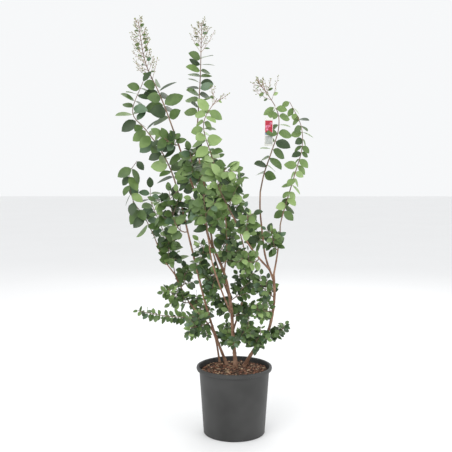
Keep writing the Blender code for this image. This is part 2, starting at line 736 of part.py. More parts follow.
def side_direction(along, index, rng):
    """Where a leaf or twig at a node points, square to the shoot. Pairs spread across the light, and each
    is turned from the last."""
    turn = NODE_TURN * (1 if index % 2 else -1) + NODE_TURN_SPREAD * rng.uniform(-1, 1)
    return Quaternion(along, turn) @ LIGHT.cross(along).normalized()


def leaf_direction(along, side, droop, rng):
    heading = along * rng.uniform(0.2, 0.6) + side - UP * (droop * rng.uniform(0.5, 1.5))
    return heading.normalized()


def leaf_face(heading, side, rng):
    """Leaves face the light, each with a tilt of its own."""
    tilt = Vector((rng.uniform(-1, 1), rng.uniform(-1, 1), rng.uniform(-1, 1)))
    return LIGHT + 0.2 * side + LEAF_TILT * tilt


def places_tree(lines):
    """A tree of close places along some lines, to find how far off the nearest is."""
    places = []
    for line in lines:
        count = max(2, round(line.length / SPACE_STEP))
        places += [line.place(i / count) for i in range(count + 1)]
    tree = KDTree(len(places))
    for i, place in enumerate(places):
        tree.insert(place, i)
    tree.balance()
    return tree


class Growth:
    """The twigs, leaves and buds of one mass, which keep to the space nearest its own shoot."""

    def __init__(self, name, mass, line, foot_radius, neighbours):
        self.name = name
        self.mass = mass
        self.line = line
        self.foot_radius = foot_radius
        self.neighbours = neighbours
        self.space = places_tree([line])
        self.all_space = None
        self.leaf = solid_leaf_length(mass.leaf)
        self.pieces = [shoot_piece(line, foot_radius)]
        self.nodes = []
        self.leaves = 0

    def in_own_space(self, piece):
        """Whether all of a piece is nearest its own shoot, or as good as."""
        for corner in piece[0]:
            own = self.space.find(corner)[2]
            if own > self.all_space.find(corner)[2] + SPACE_MARGIN:
                return False
        return True

    def add_if_clear(self, piece, tested, branch=None):
        if not self.in_own_space(tested) or not self.neighbours.clear_of(tested, branch):
            return False
        self.pieces.append(piece)
        self.neighbours.add(piece, branch)
        return True

    def grow_twigs(self):
        """Sets out the shoot's nodes, and grows a twig, or two flower branches, at some of them."""
        habit = self.mass.habit
        leafy = habit.buds_from - FIRST_NODE
        count = max(3, round(leafy * self.line.length / (habit.spacing * self.leaf)))
        for index in range(count):
            share = FIRST_NODE + leafy * index / count
            rng = random.Random(f"{GROWTH_SEED} {self.name} twig {index}")
            along = self.line.heading(share)
            side = side_direction(along, index, rng)
            self.nodes.append((share, along, side, index))
            if habit.twig_every and index % habit.twig_every == 0:
                length = TWIG_SHARE * self.line.length * (1.15 - 0.5 * share)
                sign = 1 if index // habit.twig_every % 2 else -1
                self.grow_branch(share, along, sign * side, max(length, 0.9 * self.leaf), rng, False)
        budding = 1 - habit.buds_from
        count = round(budding * self.line.length / FLOWER_NODE_SPACING)
        for index in range(count):
            share = habit.buds_from + budding * index / count
            rng = random.Random(f"{GROWTH_SEED} {self.name} flower branch {index}")
            along = self.line.heading(share)
            side = side_direction(along, index, rng)
            for sign in (1, -1):
                length = FLOWER_BRANCH * (1 - 0.7 * index / count) * rng.uniform(0.7, 1)
                self.grow_branch(share, along, sign * side, length, rng, True)

    def grow_branch(self, share, along, side, length, rng, flowering):
        start = self.line.place(share)
        heading = (along * rng.uniform(0.5, 0.8) + side * 0.8).normalized()
        end = start + (heading + UP * 0.15).normalized() * length
        root = start.lerp(end, TWIG_CLEAR / length)
        radii = (TWIG_RADIUS, TWIG_TIP_RADIUS)
        branch = f"{self.name} {len(self.pieces)}"
        if not self.add_if_clear(tube([start, end], radii, 3), tube([root, end], radii, 3), branch):
            return
        line = Line([start, end])
        if flowering:
            self.grow_buds(line, branch, rng)
            return
        for k in range(TWIG_LEAVES):
            place = 0.45 + 0.5 * k / TWIG_LEAVES
            turned_side = UP.cross(heading).normalized() * (1 if k % 2 else -1)
            self.grow_leaf(line.place(place), heading, turned_side, 0.85 * self.leaf, TWIG_TIP_RADIUS, rng)
        self.grow_leaf(end, heading, UP.cross(heading) * 0.2, 0.85 * self.leaf, -0.002, rng)

    def grow_buds(self, line, branch, rng):
        for k in range(BUDS_PER_BRANCH):
            share = 1 - 0.22 * k
            along = line.heading(share)
            aside = Quaternion(along, rng.uniform(0, math.tau)) @ along.orthogonal().normalized()
            offset = aside * (0 if k == 0 else BUD_WIDTH * 0.4)
            bud = bud_piece(line.place(share) + offset, along)
            self.add_if_clear(bud, bud, branch)

    def grow_leaf(self, place, along, side, length, radius, rng):
        """Tries a few headings for a leaf, whose root starts half-way out to the twig's surface."""
        for _ in range(LEAF_TRIES):
            heading = leaf_direction(along, side, self.mass.habit.droop, rng)
            face = leaf_face(heading, side, rng)
            root = place + heading * (LEAF_ROOT_SHARE * radius)
            leaf = leaf_piece(root, heading, face, length * rng.uniform(0.85, 1.1))
            if self.add_if_clear(leaf, blade_part(leaf)):
                self.leaves += 1
                return

    def grow_leaves(self):
        """A pair of leaves at each node that has no twig, one leaf at each that has, and one at the tip."""
        every = self.mass.habit.twig_every
        for share, along, side, index in self.nodes:
            rng = random.Random(f"{GROWTH_SEED} {self.name} leaf {index}")
            has_twig = every and index % every == 0
            sign = -1 if has_twig and index // every % 2 else 1
            size = self.leaf * (1.05 - 0.2 * share)
            place = self.line.place(share)
            radius = shoot_radius(self.foot_radius, share)
            self.grow_leaf(place, along, sign * side, size, radius, rng)
            if not has_twig:
                self.grow_leaf(place, along, -sign * side, size, radius, rng)
        if self.mass.habit.buds_from == 1.0:
            rng = random.Random(f"{GROWTH_SEED} {self.name} tip")
            along = self.line.heading(1)
            self.grow_leaf(self.line.place(1), along, along * 0.1, 0.8 * self.leaf, -0.002, rng)


def make_foliage(limb_lines, limbs):
    neighbours = Neighbours(limbs)
    growths = {}
    for name, mass in MASSES.items():
        for swing in SWINGS:
            line, foot_radius = mass_line(mass, limb_lines, limbs, swing)
            shoot = shoot_piece(line, foot_radius)
            if neighbours.clear_of(shoot, gap=0.9 * GAP):
                break
        growths[name] = Growth(name, mass, line, foot_radius, neighbours)
        neighbours.add(shoot)
    all_space = places_tree([growth.line for growth in growths.values()])
    holder = growths[TAG_SHOOT]
    tag = make_tag(holder.line, shoot_radius(holder.foot_radius, TAG_SHARE) + TAG_LOOSENESS)
    neighbours.add(([vertex.co.copy() for vertex in tag.data.vertices],
                    [tuple(face.vertices) for face in tag.data.polygons]))
    for growth in growths.values():
        growth.all_space = all_space
    for growth in growths.values():
        growth.grow_twigs()
    for growth in growths.values():
        growth.grow_leaves()
    for name, growth in growths.items():
        fuse(name, growth.pieces, leaf_material(growth.mass.leaf))
    return growths


def main():
    for item in list(bpy.data.objects):
        bpy.data.objects.remove(item)
    make_pot()
    make_soil()
    limb_lines = lay_out_limbs()
    limbs = make_limbs(limb_lines)
    return make_foliage(limb_lines, limbs)


main()
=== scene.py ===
"""The looks of a potted crape myrtle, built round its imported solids. Sizes are in metres."""

import json
import math
import random
from collections import namedtuple

import bpy
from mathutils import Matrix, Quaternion, Vector

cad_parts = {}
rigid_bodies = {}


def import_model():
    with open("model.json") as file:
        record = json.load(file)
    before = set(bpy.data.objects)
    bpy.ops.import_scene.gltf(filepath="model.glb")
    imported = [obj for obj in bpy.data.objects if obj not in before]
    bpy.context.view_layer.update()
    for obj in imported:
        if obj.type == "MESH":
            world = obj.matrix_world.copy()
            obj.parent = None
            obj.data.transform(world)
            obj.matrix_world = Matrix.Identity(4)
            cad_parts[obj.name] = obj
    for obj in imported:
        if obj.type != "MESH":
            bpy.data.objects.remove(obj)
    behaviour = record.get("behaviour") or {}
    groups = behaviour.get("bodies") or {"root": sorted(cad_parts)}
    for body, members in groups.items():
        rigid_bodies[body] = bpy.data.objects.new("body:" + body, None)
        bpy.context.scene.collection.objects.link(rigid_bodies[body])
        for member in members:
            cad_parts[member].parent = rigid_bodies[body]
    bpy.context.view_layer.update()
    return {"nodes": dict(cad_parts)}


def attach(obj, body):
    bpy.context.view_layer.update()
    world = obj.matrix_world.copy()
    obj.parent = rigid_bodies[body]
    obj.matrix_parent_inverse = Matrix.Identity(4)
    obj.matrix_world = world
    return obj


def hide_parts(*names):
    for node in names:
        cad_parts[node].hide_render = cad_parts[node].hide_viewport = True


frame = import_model()

# Clearance between one limb and the next
GAP = 0.0003

# Pot: a thin tapering wall and a rolled rim
POT_HEIGHT = 0.250
POT_FOOT_RADIUS = 0.1135
POT_NECK_RADIUS = 0.1295
POT_WALL = 0.0028
POT_FLOOR = 0.003
POT_FOOT_ROUND = 0.002
POT_SIDES = 96
RIM_RADIUS = 0.140
RIM_HALF_WIDTH = 0.0055
RIM_HALF_HEIGHT = 0.008
RIM_POINTS = 7
RIM_FIRST_TURN = -100
RIM_TURN = 290
SHARP_ANGLE = math.radians(35)

# Soil, filled to a little below the rim, and the bark chips that lie on it
SOIL_LEVEL = 0.232
CHIP_COUNT = 1500
CHIP_EDGE = 0.008
CHIP_HEIGHTS = (-0.001, 0.004)
CHIP_TILTS = (-25, 25)
CHIP_HALF_LENGTHS = (0.003, 0.008)
CHIP_WIDTHS = (0.003, 0.007)
CHIP_THICKNESSES = (0.0015, 0.003)
CHIP_SHARES = (6, 3, 1.3)
CHIP_COLOURS = {
    "dark": ((0.040, 0.022, 0.014), (0.085, 0.048, 0.030)),
    "red": ((0.16, 0.065, 0.035), (0.26, 0.12, 0.07)),
    "tan": ((0.30, 0.19, 0.11), (0.46, 0.33, 0.21)),
}

# Plant label, hung from a shoot, with plain blocks of colour on its face. A block has a name, a colour,
# a height above the middle of the plate, and how tall and how wide it is.
TAG_THICKNESS = 0.0012
TAG_TURN = math.radians(12)
TAG_OFFSET = Vector((-0.026, -0.012, -0.093))
TAG_SHOOT = "foliage_right_shoot"
TAG_SHARE = 0.735
PRINT_LIFT = 0.0002
PRINT_THICKNESS = 0.0003
PRINT_FADE = 0.8
PRINT_BLOCKS = (
    ("label_red", (0.50, 0.03, 0.06), 0.020, 0.045, 0.028),
    ("label_band", (0.16, 0.26, 0.42), -0.006, 0.010, 0.028),
    ("label_field", (0.50, 0.52, 0.50), -0.030, 0.030, 0.026),
)
PETAL_COUNT = 9
PETAL_HEIGHTS = (0.004, 0.036)
PETAL_PLACES = (-0.009, 0.009)
PETAL_SIZES = (0.004, 0.008)

# Limbs
FLARE_REACH = 0.022
STEM_FLARE = 0.55
BOUGH_FLARE = 0.25
STEM_SINK = 0.004
BARK_SIDES = 12
BARK_RING = 0.006
BARK_RELIEF = 0.05
KNOT_EVERY = 9
KNOT_SWELL = 0.14

# Shoots
GROWTH_SEED = 15
NODE_TURN = math.radians(32)
NODE_TURN_SPREAD = math.radians(25)
FIRST_NODE = 0.16
NODE_SHARE = 0.62
LEAST_NODES = 4
SHOOT_SIDES = 8
SHOOT_RING = 0.012
LEAST_SHOOT_RINGS = 6
SHOOT_TIP_RADIUS = 0.0011
SIDE_SHOOT_RADIUS = 0.0022
SIDE_SHOOT_SHARE = 0.8
SIDE_BEND = 0.35

# Leaves. A blade has half-widths at shares of its length. Leaves are smaller towards a shoot's tip.
BLADE = ((0.10, 0.50), (0.28, 0.92), (0.48, 1.0), (0.68, 0.86), (0.86, 0.50))
LEAF_WIDTH = 0.64
LEAF_BEND = 0.10
LEAF_FOLD = 0.05
LEAF_TILT = 0.7
LEAF_LEAN = (0.2, 0.6)
LEAF_TURN = 0.2
LEAF_SIZES = (0.75, 1.12)
FOOT_LEAF = 1.05
SHOOT_LEAF_LOSS = 0.2
TWIG_LEAF_LOSS = 0.25
TIP_LEAF = 0.75
TIP_SIDE = 0.1
TIP_DROOP = 0.5
DROOP_SPREAD = (0.5, 1.5)
PETIOLE = 0.045
PETIOLE_RADII = (0.0007, 0.0005)
POT_ROOM_ABOVE = 0.012
POT_ROOM_ROUND = 0.008

# Leafy twigs
TWIG_RADIUS = 0.0014
TWIG_TAPER = 0.12
TWIG_SIDES = 5
TWIG_SECTIONS = 4
TWIG_SHARE = 0.42
FOOT_TWIG = 1.15
TWIG_LOSS = 0.5
TWIG_LEAN = (0.4, 0.9)
TWIG_ARCH = 0.10
TWIG_LEAF = 0.88
TWIG_LEAF_SPACING = 0.36
TWIG_FIRST_LEAF = 0.30
TWIG_LEAFY = 0.65
SIDE_PULL = 0.8
UP_PULL = 0.15

# Sprays of buds
FLOWER_BRANCH = 0.075
FLOWER_LEAN = (0.5, 0.9)
FLOWER_RISE = 0.2
FLOWER_TWIG_RADII = (0.0010, 0.0008, 0.0007, 0.0005)
FLOWER_TWIG_SIDES = 4
SPRAY_SPACING = 0.016
SPRAY_SCALE = 1.35
SPRAY_LOSS = 0.75
SPRAY_LENGTHS = (0.6, 1)
SPRAY_BUDS = 10
SPRAY_BUDDING = 0.75
SPRAY_LEAF = 0.020
SPRAY_LEAF_CHANCE = 0.6
SPRAY_LEAF_SHARE = 0.2
SPRAY_LEAF_DROOP = 0.3
STALK_LENGTHS = (0.003, 0.010)
STALK_RADII = (0.0005, 0.0004)
STALK_LEAN = 0.6
BUD_LENGTHS = (0.0038, 0.0058)
BUD_WIDTH = 0.38
BUD_SIDES = 5
BUD_TURN = 0.5

# Colours of the leaves, each a pair, and how many of each tint a mass's sprays have
TINTS = {
    "leaves_dark": ((0.028, 0.055, 0.018), (0.046, 0.082, 0.030)),
    "leaves_mid": ((0.070, 0.125, 0.034), (0.105, 0.175, 0.050)),
    "leaves_light": ((0.130, 0.210, 0.062), (0.185, 0.280, 0.090)),
    "leaves_pale": ((0.240, 0.350, 0.120), (0.300, 0.420, 0.165)),
    "leaves_blue": ((0.085, 0.150, 0.078), (0.130, 0.205, 0.120)),
}
PLAIN_SHARES = (3, 6, 2, 0.5, 1)
LIGHT_SHARES = (1, 3, 4, 2, 0)
LIGHTER_SHARES = (1, 3, 5, 2, 0)
BLUISH_SHARES = (3, 4, 1, 0.5, 3)
TINT_SHARES = {
    "foliage_pale": (0.5, 2, 3, 5, 0),
    "foliage_pale_high": LIGHT_SHARES,
    "foliage_pale_low": LIGHT_SHARES,
    "foliage_right_shoot": LIGHT_SHARES,
    "foliage_far_right": LIGHT_SHARES,
    "foliage_right_inner": LIGHTER_SHARES,
    "foliage_right_inner_high": LIGHTER_SHARES,
    "foliage_right_inner_mid": LIGHTER_SHARES,
    "foliage_far_left": BLUISH_SHARES,
    "foliage_far_left_inner": BLUISH_SHARES,
    "foliage_left_top": (3, 6, 2, 0.5, 2),
    "foliage_left_panicle": (4, 6, 1, 0, 1),
}

# Surfaces
RAMP_ENDS = (0.35, 0.65)
BUMP_DEPTH = 0.001
PLAIN_GLOSS = 0.4

# Studio: a pale floor, a pale sky, and lamps with a place, a size and an energy
WORLD_COLOUR = (0.93, 0.94, 0.95, 1)
FLOOR_HALF = 30
FLOOR_LEVEL = -0.0005
FLOOR_GLOSS = 0.1
LAMP_AIM = (0, 0, 0.7)
LAMPS = {
    "key": ((-1.6, -2.6, 3.0), 2.4, 55),
    "fill": ((2.6, -1.8, 1.9), 2.2, 25),
    "back": ((0.4, 2.6, 2.8), 2.4, 30),
}
CAMERA_PLACE = (-0.0305, -2.6, 0.950)
CAMERA_TILT = math.radians(85.95)
CAMERA_LENS = 56.86
SENSOR_WIDTH = 36

UP = Vector((0, 0, 1))
LIGHT = Vector((0.1, -0.8, 0.5))

# A limb starts on its parent's centre line at a share of the parent's length and runs through a few
# places. A stem has no parent: it rises from the soil.
Limb = namedtuple("Limb", "parent share foot_radius tip_radius route")

LIMBS = {
    "stem_left": Limb(None, 0, 0.0050, 0.0030, (
        (-0.026, 0.060, 0.232), (-0.068, 0.058, 0.342), (-0.104, 0.050, 0.458),
        (-0.140, 0.035, 0.607), (-0.172, 0.020, 0.746), (-0.200, 0.005, 0.872))),
    "stem_centre": Limb(None, 0, 0.0072, 0.0045, (
        (0.006, 0.033, 0.232), (-0.004, 0.033, 0.351), (-0.012, 0.030, 0.465),
        (-0.034, 0.025, 0.578), (-0.066, 0.020, 0.659), (-0.093, 0.015, 0.717))),
    "stem_right": Limb(None, 0, 0.0064, 0.0046, (
        (0.036, 0.045, 0.232), (0.074, 0.030, 0.299), (0.118, 0.010, 0.358),
        (0.138, -0.010, 0.432), (0.146, -0.025, 0.516), (0.142, -0.033, 0.589))),
    "stem_far_left": Limb(None, 0, 0.0036, 0.0024, (
        (-0.054, 0.095, 0.232), (-0.074, 0.105, 0.335), (-0.111, 0.115, 0.395),
        (-0.173, 0.130, 0.462), (-0.232, 0.150, 0.571))),
    "bough_left_high": Limb("stem_centre", 1, 0.0040, 0.0028, (
        (-0.120, 0.000, 0.821), (-0.161, -0.015, 0.941), (-0.211, -0.020, 1.089))),
    "bough_middle_high": Limb("stem_centre", 0.93, 0.0036, 0.0026, (
        (-0.096, 0.040, 0.800), (-0.109, 0.070, 0.903), (-0.130, 0.090, 1.000), (-0.139, 0.100, 1.120))),
    "bough_pale": Limb("stem_centre", 0.72, 0.0028, 0.0020, (
        (-0.027, -0.020, 0.702), (-0.036, -0.060, 0.827), (-0.057, -0.090, 0.945))),
    "bough_far_right": Limb("stem_right", 1, 0.0032, 0.0024, (
        (0.154, -0.035, 0.660), (0.164, -0.040, 0.747))),
    "bough_tag": Limb("stem_right", 0.94, 0.0038, 0.0028, (
        (0.114, -0.003, 0.653), (0.104, 0.020, 0.731), (0.096, 0.045, 0.822), (0.097, 0.060, 0.889))),
    "bough_right_inner": Limb("bough_tag", 0.14, 0.0036, 0.0026, (
        (0.092, -0.060, 0.650), (0.053, -0.090, 0.702), (0.012, -0.115, 0.773), (-0.010, -0.130, 0.815))),
    "bough_far_left": Limb("stem_far_left", 1, 0.0024, 0.0019, (
        (-0.277, 0.160, 0.632), (-0.310, 0.165, 0.715))),
    "bough_back_left": Limb("stem_centre", 0.53, 0.0034, 0.0024, (
        (-0.069, 0.100, 0.622), (-0.112, 0.170, 0.769), (-0.148, 0.200, 0.874))),
    "bough_back_right": Limb("stem_centre", 0.27, 0.0034, 0.0024, (
        (0.035, 0.110, 0.485), (0.048, 0.180, 0.612), (0.025, 0.210, 0.727))),
    "bough_front": Limb("stem_centre", 0.40, 0.0034, 0.0024, (
        (-0.045, -0.060, 0.533), (-0.079, -0.130, 0.649), (-0.092, -0.170, 0.744))),
}

# A mass of foliage grows from one shoot. The shoot carries on from a limb's tip through a few places, or
# leaves a limb's side in a compass direction (0 right, 90 back, 180 left, 270 front) at a rise, in
# degrees. A habit says how far apart the pairs of leaves are, in leaf lengths, how much the leaves hang,
# at every how manieth node a leafy twig grows, and from what share of the shoot on it bears buds.
Heading = namedtuple("Heading", "turn rise length")
Mass = namedtuple("Mass", "limb share route leaf habit")
Habit = namedtuple("Habit", "spacing droop twig_every buds_from")

SHOOT = Habit(spacing=0.60, droop=0.35, twig_every=0, buds_from=1.0)
HANGING = Habit(spacing=0.85, droop=1.30, twig_every=0, buds_from=1.0)
SPRAY = Habit(spacing=0.47, droop=0.25, twig_every=2, buds_from=1.0)
PALE_SHOOT = Habit(spacing=0.60, droop=0.50, twig_every=0, buds_from=0.90)
LEFT_PANICLE = Habit(spacing=0.60, droop=0.25, twig_every=0, buds_from=0.50)
MIDDLE_PANICLE = Habit(spacing=0.60, droop=0.20, twig_every=0, buds_from=0.72)
RIGHT_PANICLE = Habit(spacing=0.90, droop=0.60, twig_every=0, buds_from=0.80)

MASSES = {
    "foliage_left_top": Mass("stem_left", 1, (
        (-0.228, 0.000, 0.963), (-0.267, -0.010, 1.043), (-0.318, -0.020, 1.113),
        (-0.364, -0.030, 1.176), (-0.326, -0.030, 1.282)), 0.066, SHOOT),
    "foliage_left_panicle": Mass("bough_left_high", 1, (
        (-0.243, -0.020, 1.177), (-0.271, -0.015, 1.246), (-0.321, -0.005, 1.359),
        (-0.346, 0.000, 1.508)), 0.070, LEFT_PANICLE),
    "foliage_middle_panicle": Mass("bough_middle_high", 1, (
        (-0.132, 0.100, 1.224), (-0.126, 0.100, 1.332), (-0.121, 0.100, 1.518)), 0.060, MIDDLE_PANICLE),
    "foliage_pale": Mass("bough_pale", 1, (
        (-0.078, -0.100, 1.011), (-0.108, -0.120, 1.127), (-0.061, -0.120, 1.215)), 0.060, PALE_SHOOT),
    "foliage_right_inner": Mass("bough_right_inner", 1, (
        (-0.043, -0.140, 0.881), (-0.058, -0.150, 0.928), (-0.030, -0.160, 0.975)), 0.056, SPRAY),
    "foliage_right_shoot": Mass("bough_tag", 1, (
        (0.112, 0.075, 0.957), (0.140, 0.090, 1.038), (0.167, 0.100, 1.127), (0.157, 0.100, 1.202),
        (0.087, 0.090, 1.303)), 0.060, RIGHT_PANICLE),
    "foliage_far_right": Mass("bough_far_right", 1, (
        (0.169, -0.040, 0.794), (0.217, -0.035, 0.957), (0.242, -0.025, 1.048), (0.238, -0.020, 1.130),
        (0.199, 0.000, 1.215)), 0.046, HANGING),
    "foliage_far_left": Mass("bough_far_left", 1, (
        (-0.349, 0.165, 0.793), (-0.390, 0.160, 0.855), (-0.403, 0.150, 0.950), (-0.371, 0.140, 1.005)),
        0.066, HANGING),
    "foliage_back_left": Mass("bough_back_left", 1, (
        (-0.172, 0.220, 0.940), (-0.185, 0.230, 1.000)), 0.052, SPRAY),
    "foliage_back_right": Mass("bough_back_right", 1, (
        (-0.003, 0.230, 0.805), (-0.023, 0.240, 0.890)), 0.048, SPRAY),
    "foliage_front": Mass("bough_front", 1, (
        (-0.098, -0.200, 0.817), (-0.107, -0.220, 0.890)), 0.048, SPRAY),
    "foliage_low_left": Mass("stem_left", 0.32, Heading(200, 6, 0.270), 0.032, SHOOT),
    "foliage_left_foot": Mass("stem_left", 0.27, Heading(235, 0, 0.130), 0.032, SPRAY),
    "foliage_left_inner_low": Mass("stem_left", 0.41, Heading(305, 55, 0.120), 0.032, SPRAY),
    "foliage_left_inner": Mass("stem_left", 0.60, Heading(295, 50, 0.110), 0.045, SPRAY),
    "foliage_left_outer": Mass("stem_left", 0.80, Heading(200, 65, 0.165), 0.050, SPRAY),
    "foliage_far_left_inner": Mass("stem_far_left", 0.97, (
        (-0.243, 0.155, 0.640), (-0.253, 0.160, 0.685), (-0.280, 0.165, 0.748), (-0.321, 0.175, 0.847),
        (-0.325, 0.180, 0.900)), 0.058, SHOOT),
    "foliage_far_left_low": Mass("stem_far_left", 0.44, Heading(130, 45, 0.105), 0.034, SPRAY),
    "foliage_far_left_out": Mass("stem_far_left", 0.68, Heading(195, 35, 0.100), 0.037, SPRAY),
    "foliage_far_left_up": Mass("stem_far_left", 0.85, Heading(80, 50, 0.090), 0.040, SPRAY),
    "foliage_foot_left": Mass("stem_centre", 0.18, Heading(115, 20, 0.105), 0.034, SPRAY),
    "foliage_foot_right": Mass("stem_centre", 0.23, Heading(300, 30, 0.135), 0.034, SPRAY),
    "foliage_centre_left_low": Mass("stem_centre", 0.41, Heading(125, 30, 0.095), 0.034, SPRAY),
    "foliage_centre_right_low": Mass("stem_centre", 0.38, Heading(55, 15, 0.115), 0.034, SPRAY),
    "foliage_centre_right": Mass("stem_centre", 0.51, Heading(40, 45, 0.135), 0.036, SPRAY),
    "foliage_centre_left": Mass("stem_centre", 0.64, Heading(180, 35, 0.100), 0.038, SPRAY),
    "foliage_centre_right_high": Mass("stem_centre", 0.79, Heading(45, 35, 0.115), 0.042, SPRAY),
    "foliage_centre_front_high": Mass("stem_centre", 0.88, Heading(315, 55, 0.120), 0.046, SPRAY),
    "foliage_far_left_side": Mass("bough_far_left", 0.34, Heading(290, 70, 0.110), 0.048, SPRAY),
    "foliage_far_right_low": Mass("bough_far_right", 0.59, Heading(245, 50, 0.095), 0.038, SPRAY),
    "foliage_left_high_low": Mass("bough_left_high", 0.23, Heading(235, 35, 0.080), 0.050, SPRAY),
    "foliage_right_foot": Mass("stem_right", 0.23, Heading(280, 40, 0.115), 0.032, SPRAY),
    "foliage_right_low": Mass("stem_right", 0.41, Heading(330, 25, 0.080), 0.032, SPRAY),
    "foliage_right_inner_low": Mass("stem_right", 0.66, Heading(230, 10, 0.100), 0.032, SPRAY),
    "foliage_right_inner_upper": Mass("stem_right", 0.79, Heading(125, 25, 0.115), 0.034, SPRAY),
    "foliage_right_inner_mid": Mass("bough_right_inner", 0.28, Heading(230, 5, 0.105), 0.038, SPRAY),
    "foliage_right_inner_high": Mass("bough_right_inner", 0.71, Heading(295, 60, 0.080), 0.048, SPRAY),
    "foliage_tag_low": Mass("bough_tag", 0.45, Heading(130, 20, 0.065), 0.042, SPRAY),
    "foliage_pale_low": Mass("bough_pale", 0.61, Heading(235, 40, 0.110), 0.050, SPRAY),
    "foliage_pale_high": Mass("bough_pale", 0.86, Heading(35, 35, 0.085), 0.050, SPRAY),
    "foliage_left_high_mid": Mass("bough_left_high", 0.62, Heading(275, 65, 0.100), 0.052, SPRAY),
    "foliage_left_high_out": Mass("bough_left_high", 0.92, Heading(210, 25, 0.070), 0.058, SPRAY),
    "foliage_middle_mid": Mass("bough_middle_high", 0.61, Heading(60, 50, 0.100), 0.050, SPRAY),
}


# Shapes and lines

def turned(profile, sides):
    """Corners and faces of a profile of (radius, height) pairs turned round +Z, from axis to axis.

    The profile runs from the bottom outwards, up and back in, so that the faces point out."""
    corners = []
    rings = []
    for radius, height in profile:
        count = sides if radius else 1
        rings.append(range(len(corners), len(corners) + count))
        for i in range(count):
            turn = math.tau * i / sides
            corners.append(Vector((radius * math.cos(turn), radius * math.sin(turn), height)))
    faces = []
    for low, high in zip(rings, rings[1:]):
        for i in range(sides):
            j = (i + 1) % sides
            quad = (low[i % len(low)], low[j % len(low)], high[j % len(high)], high[i % len(high)])
            faces.append(tuple(dict.fromkeys(quad)))
    return corners, faces


def tube(places, radii, sides):
    """Corners and faces of a round tapering tube with flat ends, through places in a line."""
    corners = []
    side = None
    for i, place in enumerate(places):
        along = places[min(i + 1, len(places) - 1)] - places[max(i - 1, 0)]
        along.normalize()
        side = along.orthogonal() if side is None else side - along * side.dot(along)
        side.normalize()
        other = along.cross(side)
        for k in range(sides):
            turn = math.tau * k / sides
            corners.append(place + radii[i] * (math.cos(turn) * side + math.sin(turn) * other))
    faces = [tuple(reversed(range(sides)))]
    for i in range(len(places) - 1):
        for k in range(sides):
            a = i * sides + k
            b = i * sides + (k + 1) % sides
            faces.append((a, b, b + sides, a + sides))
    last = len(corners) - sides
    faces.append(tuple(range(last, last + sides)))
    return corners, faces


def bar(start, end, across, width, thickness):
    """Corners and faces of a straight flat bar; its width lies along the direction across."""
    along = (end - start).normalized()
    across = (across - along * across.dot(along)).normalized()
    out = along.cross(across)
    corners = []
    for place in (start, end):
        for a, b in ((-1, -1), (1, -1), (1, 1), (-1, 1)):
            corners.append(place + across * (a * width / 2) + out * (b * thickness / 2))
    faces = [(3, 2, 1, 0), (4, 5, 6, 7)]
    for k in range(4):
        faces.append((k, (k + 1) % 4, (k + 1) % 4 + 4, k + 4))
    return corners, faces


class Line:
    """A smooth line as a row of close places, read by the share of its length."""

    def __init__(self, places):
        self.places = places
        self.marks = [0.0]
        for a, b in zip(places, places[1:]):
            self.marks.append(self.marks[-1] + (b - a).length)
        self.length = self.marks[-1]

    def place(self, share):
        wanted = max(0.0, min(1.0, share)) * self.length
        i = 1
        while i < len(self.marks) - 1 and self.marks[i] < wanted:
            i += 1
        step = self.marks[i] - self.marks[i - 1]
        return self.places[i - 1].lerp(self.places[i], (wanted - self.marks[i - 1]) / step)

    def heading(self, share):
        reach = 0.02
        return (self.place(share + reach) - self.place(share - reach)).normalized()


def line_through(route):
    """A Line that passes smoothly through the places of a route (a Catmull-Rom spline)."""
    steps = 10
    route = [Vector(place) for place in route]
    ends = [2 * route[0] - route[1], *route, 2 * route[-1] - route[-2]]
    places = []
    for a, b, c, d in zip(ends, ends[1:], ends[2:], ends[3:]):
        for k in range(steps):
            t = k / steps
            places.append(0.5 * (2 * b + (c - a) * t + (2 * a - 5 * b + 4 * c - d) * t ** 2
                                 + (3 * b - a - 3 * c + d) * t ** 3))
    places.append(route[-1])
    return Line(places)


def line_arch(start, control, end):
    """A Line that leaves start towards control and bends over to end."""
    steps = 10
    places = []
    for k in range(steps + 1):
        t = k / steps
        places.append(start * (1 - t) ** 2 + control * (2 * t * (1 - t)) + end * t ** 2)
    return Line(places)


def compass(turn, rise):
    turn = math.radians(turn)
    rise = math.radians(rise)
    return Vector((math.cos(turn) * math.cos(rise), math.sin(turn) * math.cos(rise), math.sin(rise)))


def wall_radius(height):
    """Radius of the pot's outer wall at a height."""
    return POT_FOOT_RADIUS + (POT_NECK_RADIUS - POT_FOOT_RADIUS) * height / (POT_HEIGHT - 2 * RIM_HALF_HEIGHT)


def pot_profile():
    neck = POT_HEIGHT - 2 * RIM_HALF_HEIGHT
    profile = [(0, 0)]
    for turn in (-90, -45, 0):
        turn = math.radians(turn)
        profile.append((POT_FOOT_RADIUS - POT_FOOT_ROUND * (1 - math.cos(turn)),
                        POT_FOOT_ROUND * (1 + math.sin(turn))))
    profile.append((wall_radius(neck), neck))
    for i in range(RIM_POINTS):
        turn = math.radians(RIM_FIRST_TURN + RIM_TURN * i / (RIM_POINTS - 1))
        profile.append((RIM_RADIUS - RIM_HALF_WIDTH * (1 - math.cos(turn)),
                        POT_HEIGHT - RIM_HALF_HEIGHT * (1 - math.sin(turn))))
    profile.append((wall_radius(neck) - POT_WALL, neck - POT_WALL))
    profile.append((wall_radius(POT_FLOOR) - POT_WALL, POT_FLOOR))
    profile.append((0, POT_FLOOR))
    return profile


def limb_radius(limb, share, length):
    """Straight taper with a flare at the foot."""
    flare = STEM_FLARE if limb.parent is None else BOUGH_FLARE
    taper = limb.foot_radius + (limb.tip_radius - limb.foot_radius) * share
    return taper * (1 + flare * math.exp(-share * length / FLARE_REACH))


